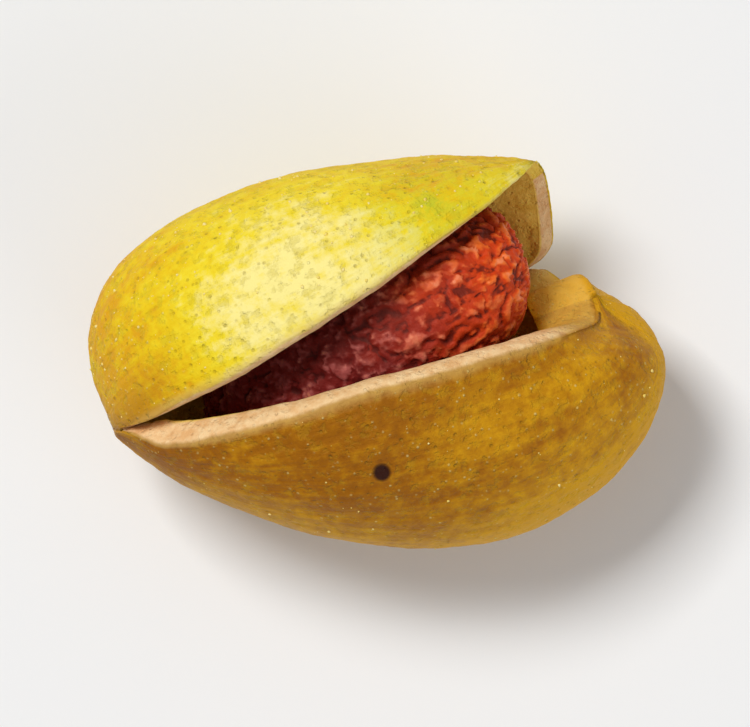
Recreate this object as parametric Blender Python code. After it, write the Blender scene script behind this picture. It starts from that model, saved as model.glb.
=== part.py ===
"""Pistachio in its shell: a split hard shell with one loose kernel inside.

Lengths are in metres. X runs along the nut, from the blunt stem end to the split tips.
The long split side faces up (+Z), and the nut rests on a small flat spot on its back.
The origin is the centre of the footprint, on the surface that the nut rests on.
"""
import math

import bmesh
import bpy

MM = 0.001

# Shell: driving dimensions
LENGTH = 18.0 * MM        # stem end to the tips, along the seam
DEPTH = 6.2 * MM          # from the long axis out to the split side and out to the back
WALL = 0.9 * MM
DEPTH_ENDS = (0.50, 0.50)  # how blunt the side view is at the stem end and at the tips
SEAM_BEND = 0.3 * MM      # how far the seam bows sideways at mid length
LEAN = math.radians(-5.0)  # the nut lies a little over towards its wide valve
FLAT_DEPTH = 0.3 * MM     # how much the resting spot takes off the round back

# Each valve, by the side of the seam that it is on: half width, bluntness of its stem end
# and its tip (smaller is blunter), and how far its cheek stands out past the seam's end
VALVES = {
    1: {"width": 5.7 * MM, "ends": (0.38, 0.94), "cheek": 0.0},
    -1: {"width": 7.2 * MM, "ends": (0.80, 0.48), "cheek": 2.2 * MM},
}
CHEEK_NOTCH = 1.8 * MM    # width of the dip where the seam meets a cheek
CHEEK_POWER = 4           # keeps the cheek to the last part of the valve

# Split: it opens from the stem end to the tips, and runs a little way down the back
HALF_GAPE = 2.8 * MM      # half the gap between the lips at GAPE_AT
GAPE_AT = 0.94            # as a fraction of the length
GAPE_POWER = 1.1
SPLIT_START = 0.02        # fraction of the length where the lips part
SPLIT_BACK = 0.90         # fraction of the length that the split reaches on the back
GAPE_FULL_Z = 1.5 * MM    # height above the axis from which the lips are fully apart
LIP_SLANT = 0.14          # how much less the inner edge of a lip has moved than its outer edge

# Kernel: driving dimensions
KERNEL_START = 3.3 * MM
KERNEL_END = 16.3 * MM
KERNEL_WIDTH = 3.7 * MM   # half width
KERNEL_DEPTH = 4.1 * MM   # half depth
KERNEL_ENDS = (0.50, 0.45)
KERNEL_RISE = 2.6 * MM    # how much higher its tip lies than its stem end
KERNEL_SHIFT = -0.5 * MM  # towards the wide valve
KERNEL_SLEW = 1.8 * MM    # how much nearer its tip lies to the narrow valve than its stem end

SHELL_SEGMENTS, SHELL_RINGS = 32, 26
KERNEL_SEGMENTS, KERNEL_RINGS = 24, 16
ON_SEAM = 1e-5            # how near the seam plane counts as on it, on the unit sphere

COLLECTION = "pistachio_in_shell"


def clear_scene():
    for obj in list(bpy.data.objects):
        bpy.data.objects.remove(obj, do_unlink=True)


def new_collection(name):
    collection = bpy.data.collections.new(name)
    bpy.context.scene.collection.children.link(collection)
    return collection


def make_material(name, colour, roughness):
    material = bpy.data.materials.new(name)
    material.use_nodes = True
    shader = material.node_tree.nodes["Principled BSDF"]
    shader.inputs["Base Color"].default_value = (*colour, 1.0)
    shader.inputs["Roughness"].default_value = roughness
    shader.inputs["Metallic"].default_value = 0.0
    return material


def swell(t, ends):
    """Outline of a nut: 0 at both ends and 1 at its fullest, for t from 0 to 1."""
    stem, tip = ends
    fullest = stem / (stem + tip)
    peak = fullest ** stem * (1.0 - fullest) ** tip
    return max(t, 0.0) ** stem * max(1.0 - t, 0.0) ** tip / peak


def smooth_step(value):
    value = min(max(value, 0.0), 1.0)
    return value * value * (3.0 - 2.0 * value)


def half_gap(t, angle):
    """How far a valve has swung away from the seam, at a place on the closed shell."""
    height = DEPTH * swell(t, DEPTH_ENDS) * math.sin(angle)
    hinge = -DEPTH * swell(min(t, SPLIT_BACK), DEPTH_ENDS)
    along = max(t - SPLIT_START, 0.0) / (GAPE_AT - SPLIT_START)
    return HALF_GAPE * along ** GAPE_POWER * smooth_step((height - hinge) / (GAPE_FULL_Z - hinge))


def shell_point(side, t, angle, inset):
    """A point of the shell, inset from its outer face. Side 0 is the unsplit seam."""
    valve = VALVES[side or 1]
    x = inset + (LENGTH - 2.0 * inset) * t
    y = (valve["width"] - inset) * swell(t, valve["ends"]) * math.cos(angle)
    z = (DEPTH - inset) * swell(t, DEPTH_ENDS) * math.sin(angle)
    x += valve["cheek"] * (1.0 - math.exp(-(y / CHEEK_NOTCH) ** 2)) * t ** CHEEK_POWER
    swing = half_gap(t, angle) * (1.0 - LIP_SLANT * inset / WALL)
    y = side * (y + swing) - SEAM_BEND * math.sin(math.pi * t)
    return lean_over(x, y, z)


def kernel_point(side, t, angle):
    x = KERNEL_START + (KERNEL_END - KERNEL_START) * t
    y = side * KERNEL_WIDTH * swell(t, KERNEL_ENDS) * math.cos(angle)
    z = KERNEL_DEPTH * swell(t, KERNEL_ENDS) * math.sin(angle)
    y += KERNEL_SHIFT + KERNEL_SLEW * (t - 0.5)
    z += KERNEL_RISE * (t - 0.5)
    return lean_over(x, y, z)


def lean_over(x, y, z):
    return (
        x,
        y * math.cos(LEAN) + z * math.sin(LEAN),
        z * math.cos(LEAN) - y * math.sin(LEAN),
    )


def unit_sphere(segments, rings):
    """A sphere whose pole axis becomes the nut's length and whose +Y becomes the split side."""
    mesh = bmesh.new()
    bmesh.ops.create_uvsphere(mesh, u_segments=segments, v_segments=rings, radius=1.0)
    return mesh


def fraction_along(vert):
    return (1.0 + vert.co.z) / 2.0


def angle_round(vert):
    """Angle from the widest line of a valve: +90 degrees at the split side, -90 at the back."""
    return math.atan2(vert.co.y, abs(vert.co.x))


def is_split(edge):
    """Whether an edge of the sphere lies on the part of the seam that has opened."""
    for vert in edge.verts:
        if abs(vert.co.x) > ON_SEAM:
            return False
        reach = SPLIT_START if vert.co.y > -ON_SEAM else SPLIT_BACK
        if fraction_along(vert) < reach:
            return False
    return True


def side_of(vert):
    """1 or -1 for the valve that a vertex belongs to, 0 where the valves are still one."""
    sides = {1 if face.calc_center_median().x > 0.0 else -1 for face in vert.link_faces}
    return sides.pop() if len(sides) == 1 else 0


def add_inner_wall(mesh, inner_places):
    """Turns the open outer sheet into a wall, with its inner face and its lips."""
    outer_faces = mesh.faces[:]
    lips = [edge.link_loops[0] for edge in mesh.edges if edge.is_boundary]
    inner = {vert: mesh.verts.new(place) for vert, place in inner_places.items()}
    for face in outer_faces:
        mesh.faces.new([inner[vert] for vert in reversed(face.verts)])
    for loop in lips:
        start, end = loop.vert, loop.link_loop_next.vert
        mesh.faces.new([end, start, inner[start], inner[end]])


def new_part(name, mesh, material, collection):
    data = bpy.data.meshes.new(name)
    mesh.to_mesh(data)
    mesh.free()
    data.materials.append(material)
    data.shade_smooth()
    data.set_sharp_from_angle(angle=math.radians(50.0))
    part = bpy.data.objects.new(name, data)
    collection.objects.link(part)
    return part


def make_shell(collection):
    mesh = unit_sphere(SHELL_SEGMENTS, SHELL_RINGS)
    opened = [edge for edge in mesh.edges if is_split(edge)]
    bmesh.ops.split_edges(mesh, edges=opened)
    places = {vert: (side_of(vert), fraction_along(vert), angle_round(vert)) for vert in mesh.verts}
    add_inner_wall(mesh, {vert: shell_point(*place, WALL) for vert, place in places.items()})
    for vert, place in places.items():
        vert.co = shell_point(*place, 0.0)
    material = make_material("saffron_shell", (0.72, 0.50, 0.05), 0.45)
    return new_part("shell", mesh, material, collection)


def make_kernel(collection):
    mesh = unit_sphere(KERNEL_SEGMENTS, KERNEL_RINGS)
    for vert in mesh.verts:
        side = 1 if vert.co.x > 0.0 else -1
        vert.co = kernel_point(side, fraction_along(vert), angle_round(vert))
    material = make_material("kernel_skin", (0.42, 0.08, 0.04), 0.55)
    return new_part("kernel", mesh, material, collection)


def stand_on_flat_spot(parts, shell):
    """Centres the footprint on the origin, with the flat spot's plane at height 0."""
    spots = [vert.co.copy() for vert in shell.data.vertices]
    middle_x = (min(p.x for p in spots) + max(p.x for p in spots)) / 2.0
    middle_y = (min(p.y for p in spots) + max(p.y for p in spots)) / 2.0
    lowest = min(p.z for p in spots)
    for part in parts:
        for vert in part.data.vertices:
            vert.co.x -= middle_x
            vert.co.y -= middle_y
            vert.co.z -= lowest + FLAT_DEPTH


def cut_flat_spot(shell, collection):
    mesh = bmesh.new()
    bmesh.ops.create_cube(mesh, size=2.0 * LENGTH)
    bmesh.ops.translate(mesh, verts=mesh.verts, vec=(0.0, 0.0, -LENGTH))
    data = bpy.data.meshes.new("flat_spot_cutter")
    mesh.to_mesh(data)
    mesh.free()
    cutter = bpy.data.objects.new("flat_spot_cutter", data)
    cutter.display_type = "WIRE"
    cutter.hide_render = True
    collection.objects.link(cutter)
    cut = shell.modifiers.new("flat_spot", "BOOLEAN")
    cut.operation = "DIFFERENCE"
    cut.solver = "EXACT"
    cut.object = cutter


def main():
    clear_scene()
    parts = new_collection(COLLECTION)
    cutters = new_collection(COLLECTION + "_cutters")
    shell = make_shell(parts)
    kernel = make_kernel(parts)
    stand_on_flat_spot((shell, kernel), shell)
    cut_flat_spot(shell, cutters)


main()
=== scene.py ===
# %% [markdown]
# # A pistachio in its shell
#
# A pistachio is two hard valves that grow together along a seam. As the nut ripens, the kernel
# swells and the seam bursts at the tip, so the shell gapes like a beak. This one was roasted in
# saffron and salt: its shell is stained lemon to gold, with painted shade deepening the wide
# valve, its split lips stay cream, and the kernel inside still has its wrinkled red skin.
#
# Three pieces are made here: the shell, the kernel and the salt on them. The imported model gives
# their sizes and their places, and everything is worked out in metres in that model's own frame.

# %% Load the frame
import math

import bpy
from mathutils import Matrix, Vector


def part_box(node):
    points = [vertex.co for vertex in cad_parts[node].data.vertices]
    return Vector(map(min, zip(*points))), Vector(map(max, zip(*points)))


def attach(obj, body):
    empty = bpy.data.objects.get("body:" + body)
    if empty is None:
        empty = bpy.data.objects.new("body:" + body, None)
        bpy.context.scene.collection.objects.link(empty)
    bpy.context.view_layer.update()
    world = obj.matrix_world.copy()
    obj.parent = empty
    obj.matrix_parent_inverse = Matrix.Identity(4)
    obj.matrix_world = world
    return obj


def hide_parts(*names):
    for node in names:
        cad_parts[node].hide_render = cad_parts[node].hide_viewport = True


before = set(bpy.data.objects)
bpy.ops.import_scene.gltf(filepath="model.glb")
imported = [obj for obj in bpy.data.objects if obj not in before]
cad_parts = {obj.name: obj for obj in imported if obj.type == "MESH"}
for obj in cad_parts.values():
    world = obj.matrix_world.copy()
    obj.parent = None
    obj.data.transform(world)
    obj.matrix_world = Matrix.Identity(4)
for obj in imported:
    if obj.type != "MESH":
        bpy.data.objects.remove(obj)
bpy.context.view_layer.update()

MM = 0.001
QUARTER = math.pi / 2
shell_low, shell_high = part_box("shell")
kernel_low, kernel_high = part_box("kernel")
print("shell, mm:", [round(side / MM, 2) for side in shell_high - shell_low])
print("kernel, mm:", [round(side / MM, 2) for side in kernel_high - kernel_low])

# %% [markdown]
# ## Sums on sockets
#
# Shapes and finishes are both node trees, and most of their nodes do sums. Written node by node,
# a short formula takes a page. So one small class wraps a node's output and lets Python's own
# operators add the Math nodes: `1 - mask` or `width * swell` reads as it would on paper. Every
# other node comes from one method, which sets its settings first and its sockets after that,
# because a setting can change which sockets a node has.

# %% A signal is one output of a node
class Signal:
    def __init__(self, bench, socket):
        self.bench = bench
        self.socket = socket

    def output(self, name):
        """Another output of the same node."""
        return Signal(self.bench, find_socket(self.socket.node.outputs, name))

    def __add__(self, other):
        return self.bench.maths("ADD", self, other)

    def __radd__(self, other):
        return self.bench.maths("ADD", other, self)

    def __sub__(self, other):
        return self.bench.maths("SUBTRACT", self, other)

    def __rsub__(self, other):
        return self.bench.maths("SUBTRACT", other, self)

    def __mul__(self, other):
        return self.bench.maths("MULTIPLY", self, other)

    def __rmul__(self, other):
        return self.bench.maths("MULTIPLY", other, self)

    def __truediv__(self, other):
        return self.bench.maths("DIVIDE", self, other)

    def __rtruediv__(self, other):
        return self.bench.maths("DIVIDE", other, self)

    def __pow__(self, other):
        return self.bench.maths("POWER", self, other)

    def __rpow__(self, other):
        return self.bench.maths("POWER", other, self)

    def __neg__(self):
        return self.bench.maths("MULTIPLY", self, -1.0)


def find_socket(sockets, wanted):
    """A socket by its number, or by its name among those that the node's settings leave in use."""
    if isinstance(wanted, int):
        return sockets[wanted]
    return next(socket for socket in sockets if socket.name == wanted and socket.enabled)


# %% A bench is one tree, and what can be put in it
class Bench:
    def __init__(self, tree):
        self.tree = tree

    def node(self, kind, settings=None, sockets=None, output=0):
        """Adds a node. The setting "stops" gives a colour ramp's stops, as (place, colour)."""
        made = self.tree.nodes.new(kind)
        for name, value in (settings or {}).items():
            if name == "stops":
                set_stops(made.color_ramp, value)
            else:
                setattr(made, name, value)
        for name, value in (sockets or {}).items():
            for source in value if isinstance(value, list) else [value]:
                self.feed(find_socket(made.inputs, name), source)
        return Signal(self, find_socket(made.outputs, output)) if made.outputs else made

    def feed(self, socket, source):
        if isinstance(source, Signal):
            self.tree.links.new(source.socket, socket)
        else:
            socket.default_value = source

    def maths(self, operation, *values):
        return self.node("ShaderNodeMath", {"operation": operation}, dict(enumerate(values)))

    def sine(self, value):
        return self.maths("SINE", value)

    def cosine(self, value):
        return self.maths("COSINE", value)

    def at_least(self, value, floor):
        return self.maths("MAXIMUM", value, floor)

    def at_most(self, value, ceiling):
        return self.maths("MINIMUM", value, ceiling)

    def step(self, value, start, end, kind="SMOOTHSTEP"):
        """0 before start, 1 after end, and a smooth or a LINEAR climb between them."""
        sockets = {"Value": value, "From Min": start, "From Max": end}
        return self.node("ShaderNodeMapRange", {"interpolation_type": kind}, sockets)

    def vector(self, x, y, z):
        return self.node("ShaderNodeCombineXYZ", None, {0: x, 1: y, 2: z})

    def parts(self, vector):
        """A vector's X, Y and Z."""
        split = self.node("ShaderNodeSeparateXYZ", None, {0: vector})
        return split, split.output("Y"), split.output("Z")

    def vector_maths(self, operation, *values):
        sockets = dict(enumerate(values))
        return self.node("ShaderNodeVectorMath", {"operation": operation}, sockets)

    def distance(self, a, b):
        return self.vector_maths("DISTANCE", a, b).output("Value")

    def scaled(self, vector, amount):
        return self.node("ShaderNodeVectorMath", {"operation": "SCALE"}, {0: vector, 3: amount})

    def noise(self, place, scale, detail=2.0, roughness=0.5, distortion=0.0):
        """Smooth noise from 0 to 1, with scale humps in each unit of the place's vector."""
        sockets = {"Vector": place, "Scale": scale, "Detail": detail, "Roughness": roughness}
        return self.node("ShaderNodeTexNoise", None, {**sockets, "Distortion": distortion})

    def cells(self, place, scale):
        """Distance to the nearest of many random points, with scale points in each unit."""
        return self.node("ShaderNodeTexVoronoi", None, {"Vector": place, "Scale": scale})

    def colour(self, share, first, second):
        """Goes from the first colour to the second as share goes from 0 to 1."""
        sockets = {"Factor": share, "A": opaque(first), "B": opaque(second)}
        return self.node("ShaderNodeMix", {"data_type": "RGBA"}, sockets, "Result")

    def ramp(self, value, stops):
        """A colour for each value, by stops of (value, colour)."""
        return self.node("ShaderNodeValToRGB", {"stops": stops}, {0: value})


def opaque(colour):
    """A colour's three numbers with the fourth that its socket wants; a signal stays as it is."""
    return (*colour, 1.0) if isinstance(colour, tuple) else colour


def set_stops(ramp, stops):
    while len(ramp.elements) < len(stops):
        ramp.elements.new(0.5)
    for element, (place, colour) in zip(ramp.elements, stops):
        element.position = place
        element.color = opaque(colour)


# %% [markdown]
# ## Growing a mesh from a tree
#
# A Geometry Nodes tree is a recipe with named sizes. The helper below makes the tree and its
# inputs, the next one hangs it on an empty object, sets the sizes and takes the result as a
# plain mesh. Inputs are set by each socket's identifier, because the modifier stores them under
# that and not under the name that the reader sees.

# %% Make a tree, and grow a piece from it
SOCKET_KINDS = {
    float: "NodeSocketFloat",
    int: "NodeSocketInt",
    Vector: "NodeSocketVector",
    bpy.types.Object: "NodeSocketObject",
}


def new_tree(name, inputs):
    """A Geometry Nodes tree with these named inputs: its bench, and a signal for each input."""
    tree = bpy.data.node_groups.new(name, "GeometryNodeTree")
    for label, kind in inputs.items():
        tree.interface.new_socket(label, in_out="INPUT", socket_type=SOCKET_KINDS[kind])
    tree.interface.new_socket("Geometry", in_out="OUTPUT", socket_type="NodeSocketGeometry")
    bench = Bench(tree)
    entry = bench.node("NodeGroupInput")
    return bench, {label: entry.output(label) for label in inputs}


def end_tree(bench, geometry, material=None):
    """The last nodes: no instances left, smooth faces, and the piece's own material.

    A tree that is only a part of another one has no material of its own.
    """
    if material is not None:
        geometry = bench.node("GeometryNodeRealizeInstances", None, {0: geometry})
        geometry = bench.node("GeometryNodeSetShadeSmooth", None, {0: geometry})
        geometry = bench.node(
            "GeometryNodeSetMaterial", None, {0: geometry, "Material": material}
        )
    bench.node("NodeGroupOutput", None, {0: geometry})


def grow(name, tree, sizes):
    """Runs a tree with these sizes and keeps what it makes as a plain mesh object."""
    host = bpy.data.objects.new(name + "_host", bpy.data.meshes.new(name + "_host"))
    bpy.context.scene.collection.objects.link(host)
    modifier = host.modifiers.new("tree", "NODES")
    modifier.node_group = tree
    for label, value in sizes.items():
        modifier[tree.interface.items_tree[label].identifier] = value
    grown = host.evaluated_get(bpy.context.evaluated_depsgraph_get())
    mesh = bpy.data.meshes.new_from_object(grown)
    bpy.data.objects.remove(host)
    piece = bpy.data.objects.new(name, mesh)
    bpy.context.scene.collection.objects.link(piece)
    print(f"{name}: {len(mesh.vertices)} points, {len(mesh.polygons)} faces")
    return piece


def piece_box(piece):
    """The lowest and the highest corner of a piece."""
    places = [vertex.co for vertex in piece.data.vertices]
    low = Vector([min(place[axis] for place in places) for axis in range(3)])
    high = Vector([max(place[axis] for place in places) for axis in range(3)])
    return low, high


# %% [markdown]
# ## The outline of a nut
#
# Seen from the side or from above, each valve's outline climbs from the stem end, is fullest
# somewhere along its length and falls to the tip. The curve t^a (1 - t)^b does just that: it is
# zero at both ends, and a small power makes that end blunt while a power near 1 makes it
# pointed. Two powers for each valve are enough: one valve is blunt at the stem and pointed at
# the tip, and the other is the opposite, which is what gives a pistachio its lopsided look.

# %% Outline and small helpers
def swell(along, stem, tip):
    """0 at both ends and 1 at the fullest place, for along from 0 to 1."""
    fullest = stem / (stem + tip)
    peak = fullest ** stem * (1.0 - fullest) ** tip
    return along ** stem * (1.0 - along) ** tip / peak


def half_wave(bench, share):
    """Goes from 0 to 1 as share does, slowly at both ends."""
    return 0.5 - 0.5 * bench.cosine(share * math.pi)


def lean_over(bench, size, x, y, z):
    """The nut lies a little over, so every place turns about its long axis."""
    across = y * bench.cosine(size["Lean"]) + z * bench.sine(size["Lean"])
    up = z * bench.cosine(size["Lean"]) - y * bench.sine(size["Lean"])
    return bench.vector(x, across, up)


def keep(bench, geometry, name, value):
    """Stores a value on every point, under a name that later nodes and materials can read."""
    settings = {"data_type": "FLOAT", "domain": "POINT"}
    sockets = {"Geometry": geometry, "Name": name, "Value": value}
    return bench.node("GeometryNodeStoreNamedAttribute", settings, sockets)


def kept(bench, name):
    """Reads a stored value back inside a Geometry Nodes tree."""
    settings = {"data_type": "FLOAT"}
    return bench.node("GeometryNodeInputNamedAttribute", settings, {"Name": name})


# %% [markdown]
# ## One valve
#
# A valve is a bent sheet with a real thickness, so its cross-section is a closed loop: along
# the outer face from the back seam up to the split, over the lip, down the inner face, and over
# the back lip to the start. A flat grid is rolled into that loop. Its rows run from the stem end
# to the tip, and its columns run once round the section. Near the stem the two valves touch and
# there is no lip, so those lip faces are deleted there, and merging the points afterwards makes
# the two valves one solid shell, as they are on the real nut.
#
# The opening turns each valve outwards about its back seam. How far is a field of its own: it
# grows along the nut, and from nothing at the back seam to its full size at the lips. Three
# things make it look torn and not sawn. The wide valve's lip has sprung back near the stem, so
# the split begins there with a long slit. Both lips waver a little. And round the tip, where the
# split runs over on to the back, the seam has torn a little way into the wide side.

# %% Sizes of the shell
ROWS = 210
COLUMNS = 175
OUTER_END = 105 / COLUMNS      # the outer face ends here, as a share of the columns,
LIP_END = 119 / COLUMNS        # then the lip does,
INNER_END = 161 / COLUMNS      # and then the inner face, and the rest is the back lip
MERGE_WITHIN = 0.0005 * MM     # points nearer than this become one
HALF_GAPE = 2.8 * MM           # half the gap between the lips, near the tips
SHELL_SIZES = {
    "Length": 18.0 * MM,
    "Depth": 6.2 * MM,         # from the long axis out to the split side, and to the back
    "Wall": 0.9 * MM,
    "Seam bend": 0.3 * MM,     # how far the seam bows sideways
    "Lean": math.radians(-5.0),  # the nut lies a little over towards its wide valve
    "Half gape": HALF_GAPE,
    "Lip round": 0.26 * MM,    # how far a lip's edges are rounded off
    "Back bend": 0.8 * MM,     # how far the back seam wanders to the wide side near its end
}
VALVE_SIZES = {
    "Side": float,             # 1 for the narrow valve and -1 for the wide one
    "Half width": float,
    "Stem power": float,       # smaller is blunter
    "Tip power": float,
    "Cheek": float,            # how far the valve stands out past the seam's end
    "Lip bevel": float,        # how far the lip's inner edge stands out past its outer edge
    "Bevel share": float,      # the most that it may take of the gap beside it
    "Early gape": float,       # how much more its lip has sprung back near the stem
    "Tip wall": float,         # how much thicker the wall gets towards the tip
    "Back notch": float,       # how far the back lip is worn away
}
NARROW_VALVE = (1.0, 5.7 * MM, 0.38, 0.94, 0.0, 0.12 * MM, 0.3, 0.0, -0.4, 0.0)
WIDE_VALVE = (-1.0, 7.2 * MM, 0.80, 0.48, 2.2 * MM, 0.62 * MM, 0.8, 0.72 * MM, 1.7, 0.4 * MM)
DEPTH_POWER = 0.5              # the side view is as blunt at the tip as at the stem
CHEEK_NOTCH = 1.8 * MM         # width of the dip where the seam meets a cheek
CHEEK_POWER = 4.0              # keeps the cheek to the last part of the valve
TIP_WALL_POWER = 8.0           # keeps the change of the wall close to the tip
SPLIT_START = 0.02             # as a share of the length
SPLIT_BACK = 0.90              # how far along the back the seam still holds
GAPE_AT = 0.94                 # where the gape is measured
GAPE_POWER = 1.1
GAPE_FULL_Z = 1.5 * MM         # height above the axis from which the lips are fully apart
EARLY_RISE = (SPLIT_START, 0.09)   # where the early gape comes, along the length
EARLY_FALL = (0.10, 0.58)      # and where it goes
LIP_GAP = 0.4 * MM             # a lip has its full shape where the gap is at least this wide
LIP_SLANT = 0.05               # how much less a lip's inner edge has moved than its outer edge
LIP_RAGGED = 0.24 * MM         # how far a lip wavers from side to side
SHUT = 0.0001 * MM             # a gap smaller than this is none


# %% How far a valve has swung open
def half_gap(bench, size, along, height_share):
    """height_share is 1 at the split side, 0 on the axis and -1 at the back seam."""
    height = size["Depth"] * swell(along, DEPTH_POWER, DEPTH_POWER) * height_share
    held = bench.at_most(along, SPLIT_BACK)
    hinge = -size["Depth"] * swell(held, DEPTH_POWER, DEPTH_POWER)
    opening = bench.at_least(along - SPLIT_START, 0.0) / (GAPE_AT - SPLIT_START)
    lifted = bench.step((height - hinge) / (GAPE_FULL_Z - hinge), 0.0, 1.0)
    return size["Half gape"] * opening ** GAPE_POWER * lifted


# %% The valve's tree
def build_valve_tree():
    inputs = {**dict.fromkeys(SHELL_SIZES, float), **VALVE_SIZES}
    bench, size = new_tree("valve", inputs)
    grid_sizes = {"Size X": 1.0, "Size Y": 1.0, "Vertices X": ROWS + 1, "Vertices Y": COLUMNS + 1}
    grid = bench.node("GeometryNodeMeshGrid", None, grid_sizes)
    row, column, _ = bench.parts(bench.node("GeometryNodeInputPosition"))
    along = half_wave(bench, row + 0.5)
    turn = column + 0.5

    over_lip = bench.step(turn, OUTER_END, LIP_END, "LINEAR")
    over_back_lip = bench.step(turn, INNER_END, 1.0, "LINEAR")
    up = bench.step(turn, 0.0, OUTER_END, "LINEAR")
    climb = up - bench.step(turn, LIP_END, INNER_END, "LINEAR")
    through_wall = half_wave(bench, over_lip) - half_wave(bench, over_back_lip)

    # How wide the split is here, on the open side and on the back
    early = bench.step(along, *EARLY_RISE) * (1.0 - bench.step(along, *EARLY_FALL))
    early = size["Early gape"] * early
    lip_gap = half_gap(bench, size, along, 1.0) + early
    back_gap = half_gap(bench, size, along, -1.0)
    lip_open = bench.step(lip_gap, 0.0, LIP_GAP)
    back_open = bench.step(back_gap, 0.0, LIP_GAP)

    # Both valves need the same wall where the back seam still joins them.
    unsealed = bench.at_least(bench.step(climb, 0.0, 0.4), back_open)
    wall = size["Wall"] * (1.0 + size["Tip wall"] * along ** TIP_WALL_POWER * unsealed)
    inset = wall * through_wall

    # A lip's edges are rounded by starting the lip a little way down each face.
    rounding = size["Lip round"] / size["Depth"]
    lip_pull = rounding * lip_open * (1.0 - bench.sine(over_lip * math.pi))
    back_pull = rounding * back_open * (1.0 - bench.sine(over_back_lip * math.pi))
    angle = climb * (math.pi - lip_pull - back_pull) + back_pull - QUARTER

    # The closed valve
    width = swell(along, size["Stem power"], size["Tip power"])
    y = (size["Half width"] - inset) * width * bench.cosine(angle)
    depth = swell(along, DEPTH_POWER, DEPTH_POWER)
    z = (size["Depth"] - inset) * depth * bench.sine(angle)
    notch = 1.0 - bench.maths("EXPONENT", -(y / CHEEK_NOTCH) ** 2)
    cheek = size["Cheek"] * notch * along ** CHEEK_POWER
    x = inset + (size["Length"] - 2.0 * inset) * along + cheek

    # How far each place has moved since it opened, and how its lips have worn
    waver = bench.noise(bench.vector(along * 9.0, size["Side"] * 3.0, 0.0), 1.0, 3.0) - 0.5
    gap = half_gap(bench, size, along, bench.sine(angle)) + early * climb ** 3.0
    swing = gap * (1.0 - LIP_SLANT * through_wall)

    # Bevel and waver stay close to the lip, and leave the very tip as it is.
    at_lip = lip_open * climb ** 5.0 * (1.0 - along ** 14.0)
    bevel = size["Lip bevel"] * (1.0 - 0.50 * bench.step(along, 0.10, 0.50))
    bevel = bench.at_most(bevel, lip_gap * size["Bevel share"])
    bevel = bevel * through_wall * at_lip
    ragged = waver * LIP_RAGGED * at_lip

    # Wear and bend of the back seam fade out half way up the valve.
    at_back = (1.0 - bench.step(climb, 0.0, 0.5)) * (1.0 - bench.step(along, 0.96, 1.0))
    worn = size["Back notch"] * back_open * at_back
    y = size["Side"] * (y + swing - bevel + ragged + worn)
    y = y - size["Seam bend"] * bench.sine(along * math.pi)
    y = y - size["Back bend"] * at_back * bench.step(along, 0.72, 0.93)

    # What the relief, the finish and the salt need to know about each place
    mesh = keep(bench, grid, "along", along)
    mesh = keep(bench, mesh, "quarter", angle / QUARTER)
    mesh = keep(bench, mesh, "through wall", through_wall)
    mesh = keep(bench, mesh, "gap", gap)
    mesh = keep(bench, mesh, "side", size["Side"] + 0.0)
    on_lips = bench.sine(over_lip * math.pi) + bench.sine(over_back_lip * math.pi)
    mesh = keep(bench, mesh, "lip", on_lips)
    place = lean_over(bench, size, x, y, z)
    mesh = bench.node("GeometryNodeSetPosition", None, {"Geometry": mesh, "Position": place})

    # The two valves are one where the seam has not opened, so there is no lip to keep there.
    closed = bench.maths("LESS_THAN", kept(bench, "gap"), SHUT)
    on_lip = bench.maths("GREATER_THAN", kept(bench, "lip"), 0.02)
    settings = {"domain": "FACE", "mode": "ALL"}
    sockets = {"Geometry": mesh, "Selection": closed * on_lip}
    mesh = bench.node("GeometryNodeDeleteGeometry", settings, sockets)
    turned = bench.maths("GREATER_THAN", size["Side"], 0.0)
    mesh = bench.node("GeometryNodeFlipFaces", None, {"Mesh": mesh, "Selection": turned})
    end_tree(bench, mesh)
    return bench.tree


valve_tree = build_valve_tree()
print("valve tree:", len(valve_tree.nodes), "nodes")

# %% [markdown]
# ## The shell's surface
#
# A real shell is bone-hard and almost smooth, but not quite: broad dents where it grew against
# its neighbours, faint ribs that run from the stem to the tip, a fine grain, one slanting trough
# down the wide valve's cheek, a groove along the closed seam, and a scar where the stalk was.
# These are big enough to catch the light on an outline, so they are moved points and not only
# bump. Everything that runs lengthwise is noise on two numbers that the valve stored, how far
# along and how far round, so the ribs meet at the two ends as they do on the nut.

# %% Relief of the outer face, in metres along the surface's normal
DENTS = 0.34 * MM
RIBS = 0.16 * MM
GRAIN = 0.11 * MM
TROUGH = 0.22 * MM
SEAM_GROOVE = 0.10 * MM
STALK_SCAR = 0.10 * MM
CREASE_SLANT = 0.35            # how far a crease climbs round the valve over its length
CREASE_WIDTH = 0.10            # in quarter turns


def crease(bench, along, quarter, start):
    """1 on a line that slants across a valve's last half and 0 away from it."""
    off_line = (quarter - start - CREASE_SLANT * along) / CREASE_WIDTH
    return bench.maths("EXPONENT", -off_line ** 2.0) * bench.step(along, 0.45, 0.75)


def shell_relief(bench):
    place = bench.scaled(bench.node("GeometryNodeInputPosition"), 1.0 / MM)
    along = kept(bench, "along")
    quarter = kept(bench, "quarter")
    side = kept(bench, "side")
    ribs_at = bench.vector(along * 2.2, quarter * 9.0, side * 5.0)
    dents = bench.noise(place, 0.22, 1.0) - 0.5
    ribs = bench.noise(ribs_at, 1.0, 2.0, 0.6) - 0.5
    grain = bench.noise(place, 1.7, 3.0, 0.7) - 0.5
    trough = crease(bench, along, quarter, 0.60) * bench.step(-side, 0.0, 1.0)
    seam = bench.step(bench.maths("ABSOLUTE", quarter), 0.955, 1.0)
    sealed = 1.0 - bench.step(kept(bench, "gap"), 0.0, 0.15 * MM)
    scar = 1.0 - bench.step(along, 0.0, 0.006)
    return (
        dents * DENTS
        + ribs * RIBS
        + grain * GRAIN
        - trough * TROUGH
        - seam * sealed * SEAM_GROOVE
        - scar * STALK_SCAR
    )


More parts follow.
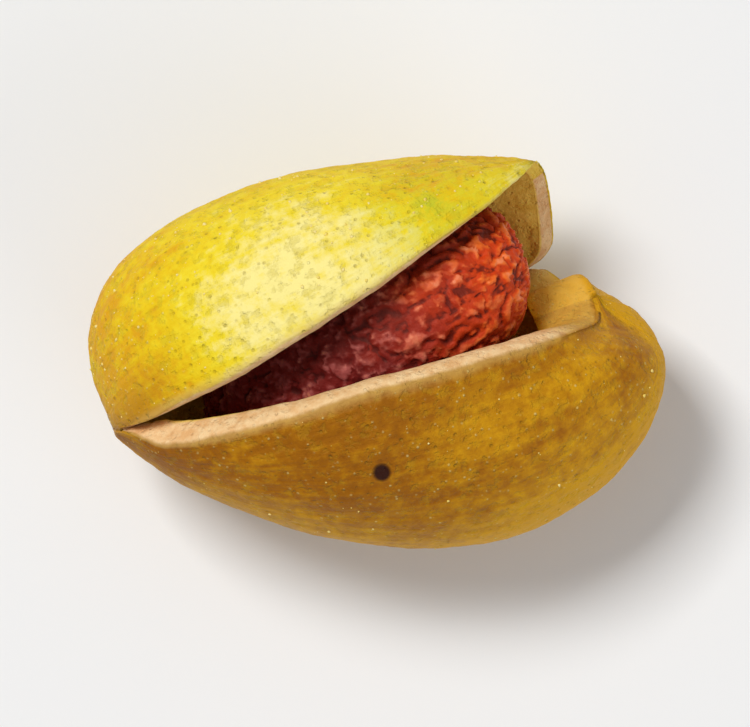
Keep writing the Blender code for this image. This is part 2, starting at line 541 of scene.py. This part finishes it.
# %% The shell's tree: two valves, merged, dressed and stood on the floor
def build_shell_tree(valve_tree, material):
    bench, size = new_tree(
        "shell",
        {
            **dict.fromkeys(SHELL_SIZES, float),
            "Stand at": Vector,
            "Floor softness": float,
            "Relief": float,
        },
    )
    valves = []
    for values in (NARROW_VALVE, WIDE_VALVE):
        sockets = {label: size[label] for label in SHELL_SIZES}
        sockets.update(zip(VALVE_SIZES, values))
        valves.append(bench.node("GeometryNodeGroup", {"node_tree": valve_tree}, sockets))
    shell = bench.node("GeometryNodeJoinGeometry", None, {0: valves})
    sockets = {"Geometry": shell, "Distance": MERGE_WITHIN}
    shell = bench.node("GeometryNodeMergeByDistance", None, sockets)

    # Only the outer face has relief, and it fades out over the lips.
    outer = 1.0 - bench.step(kept(bench, "through wall"), 0.0, 0.35)
    push = size["Relief"] * shell_relief(bench) * outer
    offset = bench.scaled(bench.node("GeometryNodeInputNormal"), push)
    shell = bench.node("GeometryNodeSetPosition", None, {"Geometry": shell, "Offset": offset})
    sockets = {"Geometry": shell, "Offset": size["Stand at"]}
    shell = bench.node("GeometryNodeSetPosition", None, sockets)

    # The floor takes the lowest part of the round back off to a small flat spot.
    x, y, z = bench.parts(bench.node("GeometryNodeInputPosition"))
    rested = bench.maths("SMOOTH_MAX", z, 0.0, size["Floor softness"])
    sockets = {"Geometry": shell, "Position": bench.vector(x, y, rested)}
    shell = bench.node("GeometryNodeSetPosition", None, sockets)
    end_tree(bench, shell, material)
    return bench.tree


# %% [markdown]
# ## The kernel
#
# The kernel is one rounded body, a little flattened, that lies loose in the shell with its tip
# raised. The same outline curve gives its shape. Roasting dries its skin, which wrinkles into a
# net of creases that run mostly along the kernel, with swollen skin between them. A crease runs
# wherever a smooth noise passes its middle value, because those places join up into long winding
# lines, and the skin rises with the distance from that value. Broad folds and finer creases are
# added up, on coordinates that are stretched lengthwise and shaken by more noise. Two values are
# stored for the finish: how high the skin stands, since it paints highlights on the crests and
# shade in the creases, and how far a place lies under the narrow valve's lip, where it paints a
# shadow.

# %% Sizes of the kernel
KERNEL_ROWS = 250
KERNEL_COLUMNS = 230
KERNEL_SIZES = {
    "Start": 3.3 * MM,         # from the shell's stem end, along the nut
    "End": 16.2 * MM,
    "Half width": 3.7 * MM,
    "Half depth": 4.1 * MM,
    "Rise": 2.6 * MM,          # how much higher its tip lies than its stem end
    "Shift": -0.5 * MM,        # towards the wide valve
    "Slew": 1.8 * MM,          # how much nearer its tip lies to the narrow valve
    "Lean": SHELL_SIZES["Lean"],
    "Wrinkle": 0.22 * MM,      # from the bottom of a crease to the crests beside it
}
KERNEL_STEM_POWER = 0.50
KERNEL_TIP_POWER = 0.45
KERNEL_LUMPS = 0.35 * MM
KERNEL_GRAIN = 0.55            # height of the finest grain, as a share of a wrinkle
SPLIT_MIDDLE = -0.2 * MM       # where the middle of the split lies, across the nut


# %% The kernel's tree
def build_kernel_tree(material):
    bench, size = new_tree("kernel", {**dict.fromkeys(KERNEL_SIZES, float), "Stand at": Vector})
    grid_sizes = {
        "Size X": 1.0,
        "Size Y": 1.0,
        "Vertices X": KERNEL_ROWS + 1,
        "Vertices Y": KERNEL_COLUMNS + 1,
    }
    grid = bench.node("GeometryNodeMeshGrid", None, grid_sizes)
    row, column, _ = bench.parts(bench.node("GeometryNodeInputPosition"))
    along = half_wave(bench, row + 0.5)
    angle = column * (2.0 * math.pi)
    full = swell(along, KERNEL_STEM_POWER, KERNEL_TIP_POWER)
    past_middle = along - 0.5
    x = size["Start"] + (size["End"] - size["Start"]) * along
    y = size["Half width"] * full * bench.cosine(angle) + size["Shift"]
    y = y + size["Slew"] * past_middle
    z = size["Half depth"] * full * bench.sine(angle) + size["Rise"] * past_middle

    # How far towards the narrow valve's lip a place lies, as a share of half the opening there
    opening = HALF_GAPE * (x / (GAPE_AT * SHELL_SIZES["Length"])) ** GAPE_POWER
    off_middle = (y - SPLIT_MIDDLE) / opening
    kernel = keep(bench, grid, "along", along)
    # Where the finish paints the shadow under the narrow valve's lip
    kernel = keep(bench, kernel, "under lip", bench.step(off_middle, 0.45, 1.0))
    place = lean_over(bench, size, x, y, z)
    kernel = bench.node("GeometryNodeSetPosition", None, {"Geometry": kernel, "Position": place})
    sockets = {"Geometry": kernel, "Distance": MERGE_WITHIN}
    kernel = bench.node("GeometryNodeMergeByDistance", None, sockets)
    kernel = bench.node("GeometryNodeFlipFaces", None, {"Mesh": kernel})

    # The creases, and the skin that swells between them
    place = bench.scaled(bench.node("GeometryNodeInputPosition"), 1.0 / MM)
    shaken = bench.node("ShaderNodeTexNoise", None, {"Vector": place, "Scale": 0.8}, "Color")
    stretched = bench.vector_maths("MULTIPLY", place, (0.55, 1.0, 1.0))
    shaken = bench.vector_maths("ADD", stretched, bench.scaled(shaken, 1.3))
    folds = bench.maths("ABSOLUTE", bench.noise(shaken, 0.85, 1.0) - 0.5)
    creases = bench.maths("ABSOLUTE", bench.noise(shaken, 2.1, 2.0) - 0.5)
    swollen = bench.step(folds, 0.0, 0.10) * 0.45 + bench.step(creases, 0.0, 0.13) * 0.55
    lumps = bench.noise(place, 0.45, 2.0) - 0.5
    crest = swollen + (bench.noise(place, 3.4, 3.0, 0.6) - 0.5) * KERNEL_GRAIN
    kernel = keep(bench, kernel, "crest", crest)
    push = size["Wrinkle"] * (kept(bench, "crest") - 0.6) + lumps * KERNEL_LUMPS
    offset = bench.scaled(bench.node("GeometryNodeInputNormal"), push)
    kernel = bench.node("GeometryNodeSetPosition", None, {"Geometry": kernel, "Offset": offset})
    sockets = {"Geometry": kernel, "Offset": size["Stand at"]}
    kernel = bench.node("GeometryNodeSetPosition", None, sockets)
    end_tree(bench, kernel, material)
    return bench.tree


# %% [markdown]
# ## Finishes
#
# Each finish is one Principled shader with its colour, roughness and bump worked out over the
# surface. What stays the same everywhere, such as how strong a sheen is, is set on the shader
# itself. Patterns read the object's own coordinates in millimetres, or the values that the
# trees stored, so they stay on the nut from whatever side it is seen.

# %% Start a material, and end it
def new_finish(name):
    material = bpy.data.materials.new(name)
    material.use_nodes = True
    material.node_tree.nodes.clear()
    bench = Bench(material.node_tree)
    coordinates = bench.node("ShaderNodeTexCoord", None, None, "Object")
    return material, bench, bench.scaled(coordinates, 1.0 / MM)


def stored(bench, name):
    """A value that a tree stored on the mesh."""
    return bench.node("ShaderNodeAttribute", {"attribute_name": name}, None, "Fac")


def end_finish(bench, colour, roughness, height, bump_distance, constants):
    """bump_distance is how many metres of relief a height of 1 stands for."""
    sockets = {"Height": height, "Distance": bump_distance, "Strength": 1.0}
    normal = bench.node("ShaderNodeBump", None, sockets)
    sockets = {"Base Color": colour, "Roughness": roughness, "Normal": normal, **constants}
    shader = bench.node("ShaderNodeBsdfPrincipled", None, sockets)
    bench.node("ShaderNodeOutputMaterial", None, {"Surface": shader})


# %% [markdown]
# ### Saffron-stained shell
#
# The bare shell is cream. Saffron and lemon juice soak in unevenly. The narrow valve is lemon and
# the wide valve gold, and that gold is partly its stain and partly painted shade. The narrow valve
# has painted highlights on its crown and beside its lip. The wide valve has painted shade beside
# its lip, painted light towards its tip, painted bounce light down its cheek and a painted
# highlight along the trough. Within each, the stain pools in blotches and follows the fibres in
# faint streaks.

# %% The colours of the stain
LEMON = [
    (0.32, (0.72, 0.36, 0.004)),
    (0.45, (0.80, 0.54, 0.005)),
    (0.57, (0.85, 0.66, 0.020)),
    (0.72, (0.93, 0.80, 0.270)),
]
# The wide valve's gold: partly its stain, and partly painted shade, since that valve lies in
# shade.
GOLD_AND_SHADE = [
    (0.34, (0.26, 0.080, 0.001)),
    (0.46, (0.35, 0.120, 0.001)),
    (0.58, (0.50, 0.215, 0.002)),
    (0.72, (0.70, 0.350, 0.004)),
]
# The middle of a painted highlight on the narrow valve's crown, in mm.
CROWN_HIGHLIGHT = (-1.5, 3.0, 11.5)      # the palest place of the narrow valve, in mm


def stain_colour(bench, place, along, quarter, narrow, stain):
    """The outer face's colour. Narrow is 1 on the narrow valve and 0 on the wide one."""
    # The narrow valve's crown is painted paler, as a highlight.
    crown_highlight = 1.0 - bench.step(bench.distance(place, CROWN_HIGHLIGHT), 1.0, 7.0)
    # A painted highlight beside the narrow valve's lip.
    lip_highlight = bench.step(quarter, 0.45, 0.80) * bench.step(along, 0.50, 0.85)
    stem_end = 1.0 - bench.step(along, 0.02, 0.40)
    lemon_and_highlights = stain + (crown_highlight - 0.2) * 0.26 + lip_highlight * 0.12 - stem_end * 0.10
    # Painted light: the wide valve is lighter towards its tip and lower down.
    lit_towards_tip = bench.step(along - 0.25 * quarter, 0.25, 0.80)
    # Painted bounce light: the wide valve is lighter down its cheek, away from its lip.
    bounce_light_below = 1.0 - bench.step(quarter, 0.10, 0.78)
    # A painted highlight along a slanting line beside the trough.
    crease_highlight = crease(bench, along, quarter, 0.52)
    # The wide valve: its stain, darker overall and beside its lip as painted shade, with the
    # painted light above.
    gold_and_shade = stain - 0.065 + 0.11 * lit_towards_tip + 0.24 * bounce_light_below + 0.13 * crease_highlight
    return bench.colour(narrow, bench.ramp(gold_and_shade, GOLD_AND_SHADE), bench.ramp(lemon_and_highlights, LEMON))


# %% [markdown]
# Small marks lie over the stain. Dried salt leaves tiny pale spots, and pores and freckles hold
# dark ones. A greenish patch near the tip shows where the narrow valve was still unripe. The
# stalk's scar and the closed seam are brown, the edge of each lip is darkened with painted shade,
# and one small round blemish on the wide valve is nearly black. Salt, pores and freckles are
# handed on as well, because the roughness and the bump need them.

# %% Marks on the stain
SALT_SPOT = (0.95, 0.86, 0.36)
PORE = (0.34, 0.19, 0.01)
FRECKLE = (0.52, 0.40, 0.015)
UNRIPE_GREEN = (0.42, 0.50, 0.02)
SCAR_BROWN = (0.62, 0.38, 0.14)
SEAM_BROWN = (0.50, 0.27, 0.06)
# The next is painted shade along the lips' edges.
LIP_EDGE_SHADE = (0.62, 0.40, 0.12)
BLEMISH_BLACK = (0.030, 0.004, 0.003)
UNRIPE = (4.0, 4.2, 10.8)      # the middle of the greenish patch, in mm
BLEMISH = (-1.3, -3.66, 0.0)   # the blemish, seen from above, in mm


def speckle(bench, place, narrow, mottle, outer):
    """Puts the marks that are everywhere over the colour: it, salt, pores and freckles."""
    salt_spots = bench.cells(place, 3.4)
    salted = (1.0 - bench.step(salt_spots, 0.10, 0.24)) * bench.step(mottle, 0.42, 0.62)
    outer = bench.colour(salted * 0.35, outer, SALT_SPOT)
    pores = 1.0 - bench.step(bench.cells(place, 2.3), 0.03, 0.20)
    outer = bench.colour(pores * 0.32, outer, PORE)
    freckles = bench.step(bench.noise(place, 2.3, 3.0, 0.6), 0.50, 0.68)
    outer = bench.colour(freckles * (0.14 + 0.20 * narrow), outer, FRECKLE)
    return outer, salted, pores, freckles


def mark(bench, place, along, quarter, gap, mottle, outer):
    """Puts the marks that have one place each over the colour: it, and the blemish."""
    unripe = bench.distance(place, UNRIPE)
    green = 0.30 * (1.0 - bench.step(unripe, 0.5, 4.0))
    green = green + 0.40 * (1.0 - bench.step(unripe, 0.1, 0.9))
    outer = bench.colour(green * bench.step(mottle, 0.30, 0.60), outer, UNRIPE_GREEN)
    scar = 1.0 - bench.step(along + (mottle - 0.5) * 0.01, 0.002, 0.009)
    outer = bench.colour(scar * 0.8, outer, SCAR_BROWN)
    seam = bench.step(bench.maths("ABSOLUTE", quarter), 0.965, 1.0)
    sealed = 1.0 - bench.step(gap, 0.0, 0.2 * MM)
    outer = bench.colour(seam * sealed * 0.5, outer, SEAM_BROWN)
    # Painted shade: a tan line along the edge of each open lip, except near the tips.
    lip_edge_shade = bench.step(quarter + (mottle - 0.5) * 0.04, 0.94, 0.985) * (1.0 - sealed)
    lip_edge_shade = lip_edge_shade * (1.0 - bench.step(along, 0.86, 0.96))
    outer = bench.colour(lip_edge_shade * 0.5, outer, LIP_EDGE_SHADE)

    x, y, z = bench.parts(place)
    off_spot = bench.distance(bench.vector(x, y, 0.0), BLEMISH)
    spotted = (1.0 - bench.step(off_spot, 0.22, 0.38)) * bench.step(z, 7.0, 8.0)
    return bench.colour(spotted, outer, BLEMISH_BLACK), spotted


# %% [markdown]
# The lips split open in the roaster, after the first soak, so they are cream. Only at the tips,
# which stood out of the heap, did they take some of the stain, and the back of the narrow tip
# stayed peach. Inside, the shell is pale gold, and near the wide tip it is as deep as outside.

# %% The lips and the inside
CREAM = [(0.35, (0.78, 0.45, 0.19)), (0.65, (0.92, 0.66, 0.35))]
INSIDE = [
    (0.36, (0.70, 0.42, 0.050)),
    (0.55, (0.88, 0.62, 0.120)),
    (0.72, (0.92, 0.76, 0.280)),
]
STAINED_RIM = (0.88, 0.58, 0.080)


def lip_colour(bench, along, quarter, side, narrow, mottle, outer):
    cream = bench.ramp(mottle, CREAM)
    at_tip = bench.step(along + (mottle - 0.5) * 0.06, 0.88, 0.97)
    rim = bench.colour(0.30 + 0.25 * narrow, outer, STAINED_RIM)
    peach = (1.0 - bench.step(quarter, -0.40, 0.10)) * bench.step(side, 0.0, 1.0)
    return bench.colour(at_tip * (1.0 - peach) * 0.9, cream, rim)


def inside_colour(bench, along, narrow, stain, outer):
    deep = bench.step(along, 0.80, 0.97) * (1.0 - narrow)
    return bench.colour(deep, bench.ramp(stain, INSIDE), outer)


# %% The shell's finish
def make_shell_finish():
    material, bench, place = new_finish("saffron_stain")
    along = stored(bench, "along")
    quarter = stored(bench, "quarter")
    side = stored(bench, "side")
    through_wall = stored(bench, "through wall")
    gap = stored(bench, "gap")

    # The two stains run into each other across the closed seam.
    from_seam = 1.0 - bench.maths("ABSOLUTE", quarter)
    own_side = bench.at_least(bench.step(from_seam, 0.0, 0.3), bench.step(gap, 0.0, 0.5 * MM))
    # 1 on the narrow valve's lemon and 0 on the wide valve's gold, which is partly painted shade.
    narrow = 0.5 + 0.5 * side * own_side

    blotches = bench.noise(place, 0.30, 3.0, 0.55, 0.4)
    mottle = bench.noise(place, 2.1, 4.0, 0.65)
    to_lip = bench.step(through_wall + (mottle - 0.5) * 0.10, 0.02, 0.16)
    fibres_at = bench.vector(along * 3.0, quarter * 26.0, side * 7.0)
    fibres = (bench.noise(fibres_at, 1.0, 3.0, 0.6) - 0.5) * (1.0 - to_lip)
    stain = blotches * 0.36 + mottle * 0.42 + fibres * 0.22 + 0.11

    outer = stain_colour(bench, place, along, quarter, narrow, stain)
    outer, salted, pores, freckles = speckle(bench, place, narrow, mottle, outer)
    outer, spotted = mark(bench, place, along, quarter, gap, mottle, outer)
    lip = lip_colour(bench, along, quarter, side, narrow, mottle, outer)
    inside = inside_colour(bench, along, narrow, stain, outer)
    to_inside = bench.step(through_wall + (mottle - 0.5) * 0.20, 0.80, 0.98)
    colour = bench.colour(to_lip, outer, lip)
    colour = bench.colour(to_inside, colour, inside)

    roughness = 0.46 + mottle * 0.25 + salted * 0.15 + to_lip * 0.08
    height = mottle + fibres * 0.6 - pores * 0.5 + salted * 0.3 - freckles * 0.4 - spotted
    constants = {"Specular IOR Level": 0.22, "Specular Tint": (1.0, 0.86, 0.55, 1.0)}
    end_finish(bench, colour, roughness, height, 0.09 * MM, constants)
    return material


# %% [markdown]
# ### Kernel skin
#
# A thin papery skin covers the kernel. It is dark maroon towards the stem and a bright orange red
# towards the tip. The crests of its wrinkles are painted paler as highlights, with bright flecks
# painted on them as glints, its creases are painted almost black as shade, and a painted shadow
# darkens the skin under the narrow valve's lip. It shines a little, and the shine has the skin's
# own warm tint.

# %% The kernel's finish
SKIN = [
    (0.20, (0.270, 0.020, 0.016)),
    (0.45, (0.190, 0.013, 0.011)),
    (0.65, (0.360, 0.024, 0.009)),
    (0.88, (0.610, 0.048, 0.004)),
]
# Paler skin for the crests, as painted highlights.
CREST_HIGHLIGHT_SKIN = [
    (0.20, (0.460, 0.090, 0.085)),
    (0.50, (0.480, 0.110, 0.090)),
    (0.70, (0.760, 0.140, 0.050)),
    (0.90, (0.900, 0.175, 0.020)),
]
# Painted glints, painted shade in the creases, and the painted shadow under the narrow lip
GLINT = (0.90, 0.30, 0.15)
CREASE_SHADE = (0.060, 0.006, 0.006)
LIP_SHADOW_COLOUR = (0.070, 0.008, 0.006)


def make_kernel_finish():
    material, bench, place = new_finish("wrinkled_skin")
    along = stored(bench, "along")
    crest = stored(bench, "crest")
    lip_shadow = stored(bench, "under lip")
    patches = bench.noise(place, 0.7, 3.0, 0.6)
    grain = bench.noise(place, 6.0, 3.0, 0.6)
    flecks = bench.noise(place, 2.2, 2.0, 0.5)
    # Darker towards the stem and redder towards the tip, a little darker in the painted shadow
    # under the lip.
    warmth = along + (patches - 0.5) * 0.45 - lip_shadow * 0.06
    # Painted highlights: the crests are paler.
    high = bench.step(crest + (grain - 0.5) * 0.4 + (flecks - 0.5) * 2.2, 0.50, 1.15)
    # Painted shade in the creases.
    low = 1.0 - bench.step(crest, 0.05, 0.42)
    colour = bench.colour(high * 0.90, bench.ramp(warmth, SKIN), bench.ramp(warmth, CREST_HIGHLIGHT_SKIN))
    # Painted glints: bright flecks on the crests.
    glints = bench.step(flecks, 0.58, 0.72) * bench.step(crest, 0.40, 0.90)
    colour = bench.colour(glints * 0.60, colour, GLINT)
    # Painted shade: the creases go almost black.
    colour = bench.colour(low * 0.75, colour, CREASE_SHADE)
    # Painted shadow under the narrow valve's lip.
    colour = bench.colour(lip_shadow * 0.50, colour, LIP_SHADOW_COLOUR)
    roughness = 0.52 - high * 0.14 + grain * 0.12
    constants = {"Specular IOR Level": 0.35, "Specular Tint": (1.0, 0.62, 0.48, 1.0)}
    end_finish(bench, colour, roughness, grain + patches * 0.3, 0.045 * MM, constants)
    return material


# %% [markdown]
# ### Salt
#
# The crystals took up the saffron too, so they are yellow, and only a little paler than the
# shell that they stick to.

# %% The salt's finish
STAINED_SALT = [(0.35, (0.82, 0.60, 0.09)), (0.65, (0.90, 0.77, 0.32))]


def make_salt_finish():
    material, bench, place = new_finish("roasting_salt")
    clouds = bench.noise(place, 5.0, 2.0)
    colour = bench.ramp(clouds, STAINED_SALT)
    roughness = 0.30 + clouds * 0.30
    end_finish(bench, colour, roughness, clouds, 0.01 * MM, {"Specular IOR Level": 0.5})
    return material


shell_finish = make_shell_finish()
kernel_finish = make_kernel_finish()
salt_finish = make_salt_finish()
print("finishes:", [finish.name for finish in (shell_finish, kernel_finish, salt_finish)])

# %% [markdown]
# ## Grow the shell where the frame has it
#
# The valves' formula starts at the stem end, and the frame's origin is under the middle of the
# nut. So the shell is grown twice: once bare, to measure it, and then where its box matches the
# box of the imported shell. Its top is matched and not its bottom, because the floor cuts the
# round back off to a small flat spot.

# %% Grow the shell
def stand_at(piece, low, high):
    """How far to move a piece so that its box has the same middle and top as this one."""
    own_low, own_high = piece_box(piece)
    middle = (low + high) / 2 - (own_low + own_high) / 2
    return Vector((middle.x, middle.y, high.z - own_high.z))


shell_tree = build_shell_tree(valve_tree, shell_finish)
lifted = Vector((0.0, 0.0, 1.0))   # the bare shell is held clear of the floor
bare_sizes = {**SHELL_SIZES, "Stand at": lifted, "Floor softness": 0.0, "Relief": 0.0}
bare_shell = grow("bare_shell", shell_tree, bare_sizes)
stand = stand_at(bare_shell, shell_low, shell_high) + lifted
bpy.data.objects.remove(bare_shell)
shell_sizes = {**SHELL_SIZES, "Stand at": stand, "Floor softness": 0.06 * MM, "Relief": 1.0}
nut_shell = grow("nut_shell", shell_tree, shell_sizes)
print("shell moved by, mm:", [round(step / MM, 2) for step in stand])

# %% Grow the kernel
kernel_tree = build_kernel_tree(kernel_finish)
nut_kernel = grow("nut_kernel", kernel_tree, {**KERNEL_SIZES, "Stand at": stand})

# %% [markdown]
# ## Is it a sound mesh?
#
# A shell that is rolled up from a grid can go wrong without looking wrong: a seam that didn't
# merge, or faces that point inwards. Two numbers tell. Every edge of a closed body has exactly
# two faces, and the volume that its faces enclose is positive only if they point outwards.

# %% Count open edges and measure the volume
import bmesh


def check_closed(piece):
    mesh = bmesh.new()
    mesh.from_mesh(piece.data)
    open_edges = [edge for edge in mesh.edges if len(edge.link_faces) != 2]
    volume = mesh.calc_volume(signed=True)
    print(f"{piece.name}: {len(open_edges)} open edges, {volume / MM ** 3:.0f} cubic mm")
    mesh.free()


check_closed(nut_shell)
check_closed(nut_kernel)

# %% [markdown]
# ## Salt
#
# The salt dries on as a dust of small broken crystals, thicker on the side that dried facing up.
# One crystal of twenty faces, knocked out of shape, is enough at this size. It is scattered over
# the outer faces at random, in drifts, and each copy is turned and sized by chance and sits half
# sunk in the surface. The seed is fixed, so the same grains come back each time.

# %% Scatter the grains
SALT_SIZES = {
    "Carrier": bpy.types.Object,
    "Grains per square metre": float,
    "Smallest": float,
    "Largest": float,
    "Seed": int,
}
WHOLE_TURNS = (6.28, 6.28, 6.28)   # about each axis


def build_salt_tree(material):
    bench, size = new_tree("salt", SALT_SIZES)
    carrier = bench.node("GeometryNodeObjectInfo", None, {0: size["Carrier"]}, "Geometry")
    _, _, upright = bench.parts(bench.node("GeometryNodeInputNormal"))
    place = bench.scaled(bench.node("GeometryNodeInputPosition"), 1.0 / MM)
    drift = bench.step(bench.noise(place, 0.6, 2.0), 0.35, 0.70)
    outside = 1.0 - bench.step(kept(bench, "through wall"), 0.0, 0.05)

    # Most grains lie on faces that look up, and on the narrow valve.
    facing = bench.step(upright, -0.5, 0.6) * (0.58 + 0.42 * kept(bench, "side"))
    density = size["Grains per square metre"] * (0.15 + drift) * facing * outside
    sockets = {"Mesh": carrier, "Density": density, "Seed": size["Seed"]}
    points = bench.node("GeometryNodeDistributePointsOnFaces", None, sockets)

    # One crystal, 1 across, so that its scale is its size in metres
    crystal = bench.node("GeometryNodeMeshIcoSphere", None, {"Radius": 0.5, "Subdivisions": 1})
    rock = bench.noise(bench.node("GeometryNodeInputPosition"), 1.9, 0.0)
    offset = bench.scaled(bench.node("GeometryNodeInputNormal"), (rock - 0.5) * 0.7)
    crystal = bench.node("GeometryNodeSetPosition", None, {"Geometry": crystal, "Offset": offset})
    settings = {"data_type": "FLOAT_VECTOR"}
    ends = {"Min": (0.0, 0.0, 0.0), "Max": WHOLE_TURNS, "Seed": 3}
    turn = bench.node("FunctionNodeRandomValue", settings, ends)
    sockets = {"Min": 0.0, "Max": 1.0, "Seed": 4}
    chance = bench.node("FunctionNodeRandomValue", {"data_type": "FLOAT"}, sockets, "Value")

    # The cube of the chance makes most grains small.
    grain = size["Smallest"] + (size["Largest"] - size["Smallest"]) * chance ** 3.0
    sockets = {"Points": points, "Instance": crystal, "Rotation": turn, "Scale": grain}
    grains = bench.node("GeometryNodeInstanceOnPoints", None, sockets)
    end_tree(bench, grains, material)
    return bench.tree


salt_tree = build_salt_tree(salt_finish)
salt_values = (nut_shell, 4.0 / MM ** 2, 0.035 * MM, 0.16 * MM, 7)
salt_grains = grow("salt_grains", salt_tree, dict(zip(SALT_SIZES, salt_values)))

# %% [markdown]
# ## Stage
#
# A plain pale floor and two soft lights under a faint even sky. The key light is high on the
# nut's narrow side, as daylight from a window would be, and it puts the wide valve half in
# shade. The other is broad, weak and low on the wide side, and keeps that shade from going
# black. The camera looks straight down from far enough away that little is foreshortened, and
# it is turned so that the nut's stem points down to the left.

# %% Floor
FLOOR_HALF = 0.9


def make_floor():
    signs = ((-1, -1), (1, -1), (1, 1), (-1, 1))
    corners = [(across * FLOOR_HALF, along * FLOOR_HALF, 0.0) for across, along in signs]
    mesh = bpy.data.meshes.new("floor")
    mesh.from_pydata(corners, [], [(0, 1, 2, 3)])
    floor = bpy.data.objects.new("floor", mesh)
    bpy.context.scene.collection.objects.link(floor)
    material, bench, place = new_finish("pale_floor")
    clouds = bench.noise(place, 0.02, 2.0)
    colour = bench.ramp(clouds, [(0.3, (0.84, 0.84, 0.83)), (0.7, (0.87, 0.87, 0.86))])
    end_finish(bench, colour, 0.75 + clouds * 0.1, clouds, 0.1 * MM, {"Specular IOR Level": 0.2})
    mesh.materials.append(material)
    return floor


floor = make_floor()

# %% Lights
NUT_MIDDLE = (shell_low + shell_high) / 2


def soft_light(name, direction, distance, size, power):
    """A square light that faces the nut from that direction."""
    light = bpy.data.lights.new(name, "AREA")
    light.shape = "SQUARE"
    light.size = size
    light.energy = power
    lamp = bpy.data.objects.new(name, light)
    back = Vector(direction).normalized()
    lamp.location = NUT_MIDDLE + back * distance
    lamp.rotation_euler = back.to_track_quat("Z", "Y").to_euler()
    bpy.context.scene.collection.objects.link(lamp)


soft_light("key", (-0.37, 0.93, 1.75), distance=0.45, size=0.14, power=1.45)
soft_light("fill", (0.5, -0.9, 0.5), distance=0.50, size=0.40, power=0.60)
world = bpy.data.worlds.new("studio")
world.use_nodes = True
sky = world.node_tree.nodes["Background"]
sky.inputs["Color"].default_value = (0.95, 0.96, 1.0, 1.0)
sky.inputs["Strength"].default_value = 0.36
bpy.context.scene.world = world
bpy.context.scene.view_settings.view_transform = "Standard"

# %% Camera
CAMERA_TURN = math.radians(-23.2)
CAMERA_HEIGHT = 0.32           # above the floor
FRAME_WIDTH = 27.0 * MM        # what the picture shows across, at the nut's middle height


def make_camera():
    data = bpy.data.cameras.new("camera")
    data.sensor_width = 36.0
    data.lens = data.sensor_width * (CAMERA_HEIGHT - NUT_MIDDLE.z) / FRAME_WIDTH
    data.clip_start = 0.01
    data.clip_end = 10.0
    camera = bpy.data.objects.new("camera", data)
    camera.location = (NUT_MIDDLE.x, NUT_MIDDLE.y, CAMERA_HEIGHT)
    camera.rotation_euler = (0.0, 0.0, CAMERA_TURN)
    bpy.context.scene.collection.objects.link(camera)
    return camera


bpy.context.scene.camera = make_camera()

# %% [markdown]
# ## Join it to the frame
#
# Every piece rides on the nut's one body, and the two modelled pieces stand for the plain solids
# of the imported model.

# %% Ride, replace, and finish
for piece in (nut_shell, nut_kernel, salt_grains):
    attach(piece, "root")
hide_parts("shell")
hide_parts("kernel")
